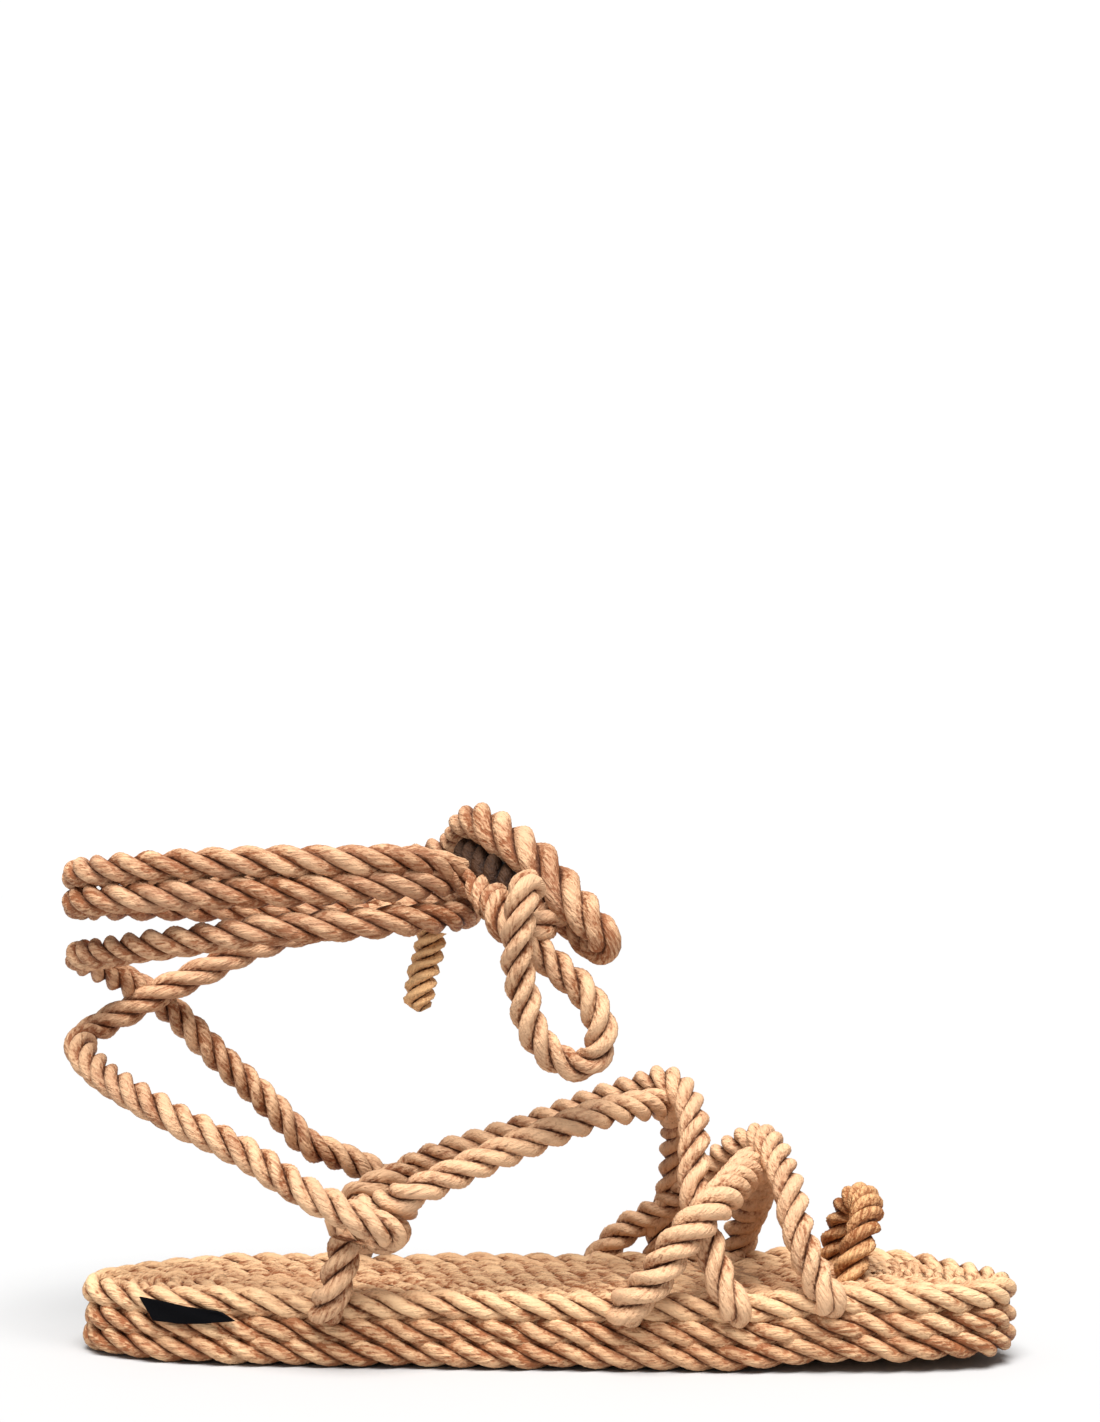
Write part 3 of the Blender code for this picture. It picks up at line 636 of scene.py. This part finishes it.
def free_points(table):
    """The points of a table that is already in metres."""
    return [np.array(point) for point in table]


far_lace = tucked_end(INSTEP_LACE_NEAR_BASE, -1) + places(INSTEP_LACE_NEAR + FAR_RISE)
far_lace += ankle_turns(FAR_LACE_TURNS) + free_points(FAR_LACE_TO_KNOT)
near_lace = tucked_end(INSTEP_LACE_FAR_BASE, 1) + places(INSTEP_LACE_FAR + NEAR_RISE)
near_lace += ankle_turns(NEAR_LACE_TURNS)

near_route = smooth_route(near_lace + free_points(BOW_FRONT_LOOP), STEP)
leaving = int(np.argmin(np.linalg.norm(near_route - near_lace[-1], axis=1)))
near_walk = np.linalg.norm(near_route[1] - near_route[0]) * np.arange(leaving + 1)
near_lays = along_rope(NEAR_LACE_LAY, near_walk / near_walk[-1])
bow_start_phase = 2 * np.pi * float((np.diff(near_walk) / near_lays[1:]).sum())

lace_over_far_side = rope_piece(
    "lace_over_far_side", smooth_route(far_lace, STEP), LACE_CROWN, FAR_LACE_LAY, STRAP_FINISH,
    seed=3, tone_and_light=LACE_PAINTED_LIGHT,
)
lace_over_near_side = rope_piece(
    "lace_over_near_side", near_route[: leaving + 1], LACE_CROWN, NEAR_LACE_LAY, STRAP_FINISH,
    seed=4, tone_and_light=LACE_PAINTED_LIGHT,
)
bow_route = near_route[leaving:]
bow_front_loop = rope_piece(
    "bow_front_rope", bow_route, BOW_CROWN, BOW_LAY, STRAP_FINISH,
    seed=4, phase=bow_start_phase, tone_and_light=BOW_PAINTED_SHADE,
)
hanging_route = smooth_route(BOW_HANGING_LOOP, STEP)
bow_hanging_loop = rope_piece(
    "bow_hanging_rope", hanging_route, LACE_CROWN, HANGING_LAY, STRAP_FINISH, seed=5
)
lace_end = rope_piece(
    "lace_end_rope", smooth_route(LACE_END, STEP), LACE_CROWN, END_LAY, GOLDEN_SHADOW_FINISH,
    seed=6, end_taper=END_ROUNDING, tone_and_light=END_PAINTED_LIGHT,
)

# %% [markdown]
# The bow's knot shows one turn of lace that comes up under the hanging loop, and above it a hollow between
# the knot and the front loop. A second turn lies deep in that hollow, and its near-black brown is painted
# shadow: the shade of the hollow put into the rope's colour.

# %% The bow's knot
KNOT_TURN = (
    (-0.0165, -0.0080, 0.1225), (-0.0142, -0.0180, 0.1228), (-0.0130, -0.0270, 0.1232),
    (-0.0128, -0.0330, 0.1222), (-0.0122, -0.0365, 0.1200), (-0.0111, -0.0385, 0.1170),
    (-0.0085, -0.0395, 0.1142), (-0.0043, -0.0385, 0.1144), (-0.0001, -0.0365, 0.1167),
    (0.0031, -0.0310, 0.1198), (0.0036, -0.0270, 0.1222),
)
KNOT_HOLLOW = (
    (-0.0215, 0.0040, 0.1345), (-0.0178, -0.0060, 0.1335), (-0.0135, -0.0150, 0.1305),
    (-0.0095, -0.0210, 0.1265), (-0.0060, -0.0260, 0.1215),
)
# Painted shade: the knot's turn is nearly black where it starts, deep behind the front loop, and lighter
# where it comes out in front.
KNOT_PAINTED_SHADE = ((0.0, 0.0), (0.30, 0.05), (0.50, 0.40), (1.0, 0.35))
HOLLOW_CROWN = 0.0120
bow_knot = rope_piece(
    "bow_knot_rope", smooth_route(KNOT_TURN, STEP), LACE_CROWN, HANGING_LAY, STRAP_FINISH,
    seed=7, tone_and_light=KNOT_PAINTED_SHADE,
)
knot_hollow = rope_piece(
    "knot_hollow_rope", smooth_route(KNOT_HOLLOW, STEP), HOLLOW_CROWN, HANGING_LAY, PAINTED_SHADOW_FINISH, seed=13
)

# %% [markdown]
# ## Straps over the forefoot, heel loops and toe loop
#
# Two thicker ropes cross over the forefoot, a short one bends over a toe, and a loop at each side of the
# heel holds the laces back. All but the toe loop start and end between the two upper rows of the sole.

# %% Strap routes
CROSS_STRAP_REAR_BASE = 0.085
CROSS_STRAP_REAR = (
    (0.113, -0.533, 0.045), (0.132, -0.533, 0.108), (0.151, -0.520, 0.154), (0.171, -0.480, 0.193),
    (0.190, -0.387, 0.226), (0.208, -0.240, 0.248), (0.226, -0.053, 0.260), (0.239, 0.100, 0.240),
    (0.241, 0.230, 0.190), (0.236, 0.360, 0.125), (0.227, 0.470, 0.060),
)
CROSS_STRAP_REAR_FAR_BASE = 0.223
CROSS_STRAP_FRONT_BASE = 0.292
CROSS_STRAP_FRONT = (
    (0.281, -0.510, 0.025), (0.269, -0.480, 0.094), (0.262, -0.413, 0.157), (0.258, -0.333, 0.221),
    (0.252, -0.227, 0.268), (0.245, -0.107, 0.307), (0.235, 0.030, 0.317), (0.217, 0.133, 0.296),
    (0.200, 0.240, 0.259), (0.184, 0.300, 0.225), (0.154, 0.413, 0.150), (0.125, 0.490, 0.099),
    (0.092, 0.540, 0.050),
)
CROSS_STRAP_FRONT_FAR_BASE = 0.063
TOE_LOOP_DEPTH = 0.0085
TOE_LOOP = (
    (0.323, -0.187, -TOE_LOOP_DEPTH / LACING_HEIGHT), (0.329, -0.187, 0.022), (0.339, -0.167, 0.082),
    (0.349, -0.093, 0.128), (0.352, 0.013, 0.150), (0.347, 0.107, 0.151), (0.339, 0.180, 0.122),
    (0.331, 0.220, 0.063), (0.325, 0.240, 0.006), (0.321, 0.240, -TOE_LOOP_DEPTH / LACING_HEIGHT),
)
HEEL_LOOP_NEAR_BASE = -0.227
HEEL_LOOP_NEAR = ((-0.217, -0.480, 0.016), (-0.210, -0.490, 0.075), (-0.203, -0.493, 0.130))
HEEL_LOOP_FAR_BASE = -0.222
HEEL_LOOP_FAR = ((-0.216, 0.535, 0.016), (-0.212, 0.530, 0.075), (-0.208, 0.527, 0.130))

STRAP_LAY = 0.0200
WIDE_STRAP_CROWN = 0.0108
FRONT_STRAP_CROWN = 0.0094
TOE_LAY = 0.0165
TOE_CROWN = 0.0096
# Painted light and shade: the toe loop is given a low level, dark as if in shadow, and the two straps over
# the forefoot high levels, light where they face the light from above.
TOE_PAINTED_SHADE = 0.12
REAR_STRAP_PAINTED_LIGHT = 0.92
FRONT_STRAP_PAINTED_LIGHT = 0.74
HEEL_LOOP_LAY = 0.0225
HEEL_LOOP_CROWN = 0.0098


def strap(name, base, table, far_base, crown, tone_and_light, seed):
    """A strap from the near edge, over the foot, to the far edge."""
    points = tucked_end(base, -1) + places(table) + tucked_end(far_base, 1)[::-1]
    return rope_piece(name, smooth_route(points, STEP), crown, STRAP_LAY, STRAP_FINISH, seed=seed, tone_and_light=tone_and_light)


cross_rear = strap(
    "cross_strap_rear", CROSS_STRAP_REAR_BASE, CROSS_STRAP_REAR, CROSS_STRAP_REAR_FAR_BASE,
    WIDE_STRAP_CROWN, REAR_STRAP_PAINTED_LIGHT, 8,
)
cross_front = strap(
    "cross_strap_front", CROSS_STRAP_FRONT_BASE, CROSS_STRAP_FRONT, CROSS_STRAP_FRONT_FAR_BASE,
    FRONT_STRAP_CROWN, FRONT_STRAP_PAINTED_LIGHT, 9,
)
toe_route = smooth_route(places(TOE_LOOP), STEP)
toe_loop = rope_piece(
    "toe_loop_rope", toe_route, TOE_CROWN, TOE_LAY, GOLDEN_SHADOW_FINISH, seed=10, tone_and_light=TOE_PAINTED_SHADE
)
heel_loops = []
for name, base, table, side, seed in (
    ("heel_loop_near", HEEL_LOOP_NEAR_BASE, HEEL_LOOP_NEAR, -1, 11),
    ("heel_loop_far", HEEL_LOOP_FAR_BASE, HEEL_LOOP_FAR, 1, 12),
):
    route = smooth_route(tucked_end(base, side, HEEL_LOOP_RISE) + places(table), STEP)
    piece = rope_piece(name + "_rope", route, HEEL_LOOP_CROWN, HEEL_LOOP_LAY, STRAP_FINISH, seed=seed)
    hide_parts(name)
    heel_loops.append(piece)

# %% [markdown]
# ## The sole
#
# Each layer is one rope coiled flat, from the rim to the middle. Rings of rope between the outline and a
# line down the middle look the same from every side and close cleanly, so they stand in for the spiral.
# The layers show only their rims, apart from the footbed and the underside, which show every ring.

# %% Rings of rope
SOLE_STEP = 0.0015
SOLE_LAY = 0.0270
SOLE_CROWN = 0.0081
INNER_CROWN = 0.0065
INNER_LAY = 0.0185
GROUND_LIFT = 0.0009
# Painted light on the sole's side: the top rim row is given a high level, light as if lit from above, and the
# two rows below low levels, dark as if shaded.
ROW_PAINTED_LIGHT = (0.22, 0.14, 0.84)
INNER_TONE = 0.38
RING_COUNT = 6
MIDDLE_GAP = 0.45
INNER_DIP = 0.0005
RING_WAVER = 0.00025
HEIGHT_WAVER = 0.6
MIDDLE_LINE = ((-0.35, 0.04), (0.0, 0.02), (0.35, -0.06))
ROUTE_THINNING = 4


def ring_route(level, inset_share, seed=0):
    """A ring of the coil: the outline moved towards the middle line, at a height of its own.

    ring = outline + (middle line - outline) * share. A few slow sine waves round the ring move it up,
    down, in and out by a fraction of a millimetre.
    """
    reach = SOLE_WIDTH / 2
    middle_x = np.clip(RIM[:, 0], -SOLE_LENGTH / 2 + reach, SOLE_LENGTH / 2 - reach)
    middle_y = along_rope(MIDDLE_LINE, middle_x / SOLE_LENGTH) * SOLE_WIDTH
    middle = np.stack([middle_x, middle_y], axis=1)
    random = np.random.default_rng(seed)
    round_ring = np.linspace(0, 2 * np.pi, len(RIM), endpoint=False)[:, None]
    waves = np.sin(round_ring * random.integers(9, 40, 6) + random.uniform(0, 6, 6)) * RING_WAVER
    share = inset_share + waves[:, :3].sum(axis=1) / reach
    flat = RIM + (middle - RIM) * share[:, None]
    height = level + spring(RIM[:, 0] / SOLE_LENGTH) + waves[:, 3:].sum(axis=1) * HEIGHT_WAVER
    return smooth_route(np.column_stack([flat, height])[::ROUTE_THINNING], SOLE_STEP, closed=True)


def coil(name, row, rings, seed):
    """One layer of the sole: the rim ring and the given inner rings, joined into one object."""
    level = row * ROW_PITCH + SOLE_ROPE / 2 + (GROUND_LIFT if row == 0 else 0)
    half = SOLE_WIDTH / 2
    dip = INNER_DIP if row == 2 else -INNER_DIP
    parts = []
    for ring in rings:
        inset = (SOLE_ROPE / 2 + ring * (half - SOLE_ROPE / 2) / (RING_COUNT + MIDDLE_GAP)) / half
        if ring == 0:
            height, crown, lay, tone_and_light = level, SOLE_CROWN, SOLE_LAY, ROW_PAINTED_LIGHT[row]
        else:
            height, crown, lay, tone_and_light = level - dip, INNER_CROWN, INNER_LAY, INNER_TONE
        route = ring_route(height, inset, seed + ring)
        part = rope_piece(
            f"{name}_{ring}", route, crown, lay, SOLE_FINISH, closed=True, seed=seed + ring, tone_and_light=tone_and_light
        )
        parts.append(part)
    bpy.ops.object.select_all(action="DESELECT")
    for part in parts:
        part.select_set(True)
    bpy.context.view_layer.objects.active = parts[0]
    bpy.ops.object.join()
    parts[0].name = name
    return parts[0]


outsole = coil("outsole_rope", 0, range(RING_COUNT + 1), 20)
midsole = coil("midsole_rope", 1, (0,), 40)
footbed = coil("footbed_rope", 2, range(RING_COUNT + 1), 60)

# %% [markdown]
# Thin gaps stay between the rows of rope. A plain slab inside the rim keeps light from showing through
# them; its dark brown is painted shade, the shadow deep in the gaps.

# %% The fill between the coils
FILL_INSET = 0.10
FILL_BOTTOM = 0.0020
FILL_TOP = 2 * ROW_PITCH + SOLE_ROPE * 0.55
# Painted shade: the slab's browns are dark, the shadow deep in the gaps between the rows.
FILL_DARK = (0.20, 0.09, 0.04, 1.0)
FILL_PALE = (0.42, 0.24, 0.12, 1.0)
FILL_GRAIN = 900.0
FILL_ROUGHNESS = 0.95


def sole_fill():
    """A plain slab inside the rope rows, so that no light shows between them."""
    rim = ring_route(0.0, FILL_INSET)[::ROUTE_THINNING]
    count = len(rim)
    points = np.vstack([rim + [0, 0, level] for level in (FILL_BOTTOM, FILL_TOP)]) + SHIFT
    k = np.arange(count)
    walls = np.stack([k, (k + 1) % count, (k + 1) % count + count, k + count], axis=1).tolist()
    mesh = bpy.data.meshes.new("sole_fill")
    mesh.from_pydata(points, [], walls + [list(range(count))[::-1], list(range(count, 2 * count))])
    mesh.update()
    finish = Finish("sole_fill")
    grain = finish.noise(finish.node("ShaderNodeTexCoord", output="Object"), FILL_GRAIN)
    colour = finish.mix(grain, FILL_DARK, FILL_PALE)
    mesh.materials.append(finish.shade(Base_Color=colour, Roughness=FILL_ROUGHNESS))
    return add_object("sole_fill", mesh)


fill = sole_fill()

# %% [markdown]
# ## The label tab
#
# A short woven tape is sewn between the two upper rows of rope at the heel. It is left without lettering.
# Its low and high edges are lines through a few rows: a share of the length, the low edge, the high edge.

# %% Label tab
TAB_PLACE = -0.375
TAB_LENGTH = 0.0245
TAB_HEIGHT = 0.0064
TAB_SHAPE = ((-0.45, -0.20, 0.72), (-0.15, -0.26, 0.58), (0.15, -0.20, 0.42), (0.47, -0.08, 0.26))
TAB_SLANT = 0.0040
TAB_GAP = 0.0019
TAB_THICKNESS = 0.0008
TAB_WAVINESS = 0.0003
TAB_COLUMNS = 60
TAB_ROWS = 12
TAB_DARK = (0.0015, 0.0015, 0.002, 1.0)
TAB_PALE = (0.005, 0.005, 0.006, 1.0)
WEAVE_SCALE = 30.0
WEAVE_RELIEF = 0.0002


def tape_finish():
    """Nearly black tape with fine crosswise threads."""
    finish = Finish("label_tape")
    weave = finish.node(
        "ShaderNodeTexWave",
        dict(bands_direction="X"),
        {
            "Vector": finish.node("ShaderNodeUVMap", dict(uv_map="UVMap")),
            "Scale": WEAVE_SCALE,
            "Distortion": 0.5,
        },
        output="Fac",
    )
    return finish.shade(
        Base_Color=finish.mix(weave, TAB_DARK, TAB_PALE),
        Roughness=0.75,
        Specular_IOR_Level=0.03,
        Normal=finish.bump(weave, WEAVE_RELIEF, 0.6),
    )


def label_tab():
    """A ribbon grid along the sole's edge, between the low and high lines of TAB_SHAPE, with slanted ends."""
    near = RIM[RIM[:, 1] < 0]
    near = near[np.argsort(near[:, 0])]
    u, v = np.meshgrid(np.linspace(0, 1, TAB_COLUMNS), np.linspace(0, 1, TAB_ROWS), indexing="ij")
    stations, lows, highs = (np.array(column) for column in zip(*TAB_SHAPE))
    share = stations[0] + u * (stations[-1] - stations[0])
    x = TAB_PLACE * SOLE_LENGTH + share * TAB_LENGTH - (v - 0.5) * TAB_SLANT
    y = np.interp(x, near[:, 0], near[:, 1]) - TAB_GAP + TAB_WAVINESS * np.sin(u * 9) * np.sin(v * 3)
    low, high = np.interp(share, stations, lows), np.interp(share, stations, highs)
    z = UPPER_SEAM + (low + v * (high - low)) * TAB_HEIGHT
    points = np.stack([x, y, z], axis=-1).reshape(-1, 3) + SHIFT
    column, row = np.meshgrid(np.arange(TAB_COLUMNS - 1), np.arange(TAB_ROWS - 1), indexing="ij")
    corner = (column * TAB_ROWS + row).ravel()
    faces = np.stack([corner, corner + TAB_ROWS, corner + TAB_ROWS + 1, corner + 1], axis=1)
    mesh = bpy.data.meshes.new("label_tape")
    mesh.from_pydata(points, [], faces.tolist())
    layer = mesh.uv_layers.new(name="UVMap")
    loops = np.zeros(len(mesh.loops), int)
    mesh.loops.foreach_get("vertex_index", loops)
    layer.data.foreach_set("uv", np.stack([u.ravel()[loops], v.ravel()[loops]], axis=1).ravel())
    mesh.update()
    mesh.materials.append(tape_finish())
    piece = add_object("label_tape", mesh)
    thick = piece.modifiers.new("tape", "SOLIDIFY")
    thick.thickness = TAB_THICKNESS
    thick.offset = 0
    return piece


tab = label_tab()

# %% [markdown]
# ## What each piece stands for
#
# The solid model keeps its plain ropes for collisions. Each new rope takes the place of the solids that it
# follows, and rides on the sandal's one body.

# %% Riding and replacing
for piece, nodes in (
    (lace_over_far_side, ("instep_straps", "ankle_wraps")),
    (lace_over_near_side, ("instep_straps", "ankle_wraps")),
    (cross_rear, ("instep_straps",)),
    (cross_front, ("instep_straps",)),
    (toe_loop, ("toe_loop",)),
    (bow_front_loop, ("bow_front_loop",)),
    (bow_hanging_loop, ("bow_hanging_loop",)),
    (bow_knot, ("bow_knot",)),
    (knot_hollow, ("bow_knot",)),
    (lace_end, ("lace_end",)),
    (outsole, ("outsole_rope_layer",)),
    (midsole, ("midsole_rope_layer",)),
    (footbed, ("footbed_rope_layer",)),
    (tab, ("label_tab",)),
):
    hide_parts(*nodes)
    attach(piece, "root")
for piece, name in zip(heel_loops, ("heel_loop_near", "heel_loop_far")):
    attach(piece, "root")
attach(fill, "root")


# %% [markdown]
# ## Floor and light
#
# The sandal stands on a plain pale floor. A broad sun from above and in front gives the crowns of the rope
# their light and leaves the grooves and undersides dark, and an even sky fills the shadows. Seen directly,
# the sky is brighter than the light that it gives, which makes a white backdrop.

# %% Studio
FLOOR_SIZE = 40.0
SKY_STRENGTH = 0.39
BACKDROP_STRENGTH = 1.05
SUN_STRENGTH = 5.5
SUN_SPREAD = 40.0
SUN_FROM = (0.02, -0.52, 1.0)
FLOOR_COLOUR = (0.52, 0.52, 0.52, 1.0)

floor_mesh = bpy.data.meshes.new("floor")
half = FLOOR_SIZE / 2
corners = [(-half, -half, 0), (half, -half, 0), (half, half, 0), (-half, half, 0)]
floor_mesh.from_pydata(corners, [], [(0, 1, 2, 3)])
floor = add_object("floor", floor_mesh)
floor_finish = Finish("floor")
floor_finish.shade(Base_Color=FLOOR_COLOUR, Roughness=1.0, Specular_IOR_Level=0.0)
floor_mesh.materials.append(floor_finish.material)

world = bpy.data.worlds.new("studio")
world.use_nodes = True
sky = world.node_tree.nodes["Background"]
sky.inputs["Color"].default_value = (1.0, 1.0, 1.0, 1.0)
rays = world.node_tree.nodes.new("ShaderNodeLightPath")
strength = world.node_tree.nodes.new("ShaderNodeMix")
strength.inputs["A"].default_value = SKY_STRENGTH
strength.inputs["B"].default_value = BACKDROP_STRENGTH
world.node_tree.links.new(rays.outputs["Is Camera Ray"], strength.inputs["Factor"])
world.node_tree.links.new(strength.outputs["Result"], sky.inputs["Strength"])
bpy.context.scene.world = world
bpy.context.scene.view_settings.view_transform = "Standard"

sun = bpy.data.lights.new("key", "SUN")
sun.energy = SUN_STRENGTH
sun.angle = math.radians(SUN_SPREAD)
sun_holder = bpy.data.objects.new("key", sun)
bpy.context.scene.collection.objects.link(sun_holder)
sun_holder.rotation_euler = (
    math.atan2(math.hypot(SUN_FROM[0], SUN_FROM[1]), SUN_FROM[2]),
    0,
    math.atan2(SUN_FROM[1], SUN_FROM[0]) + math.pi / 2,
)
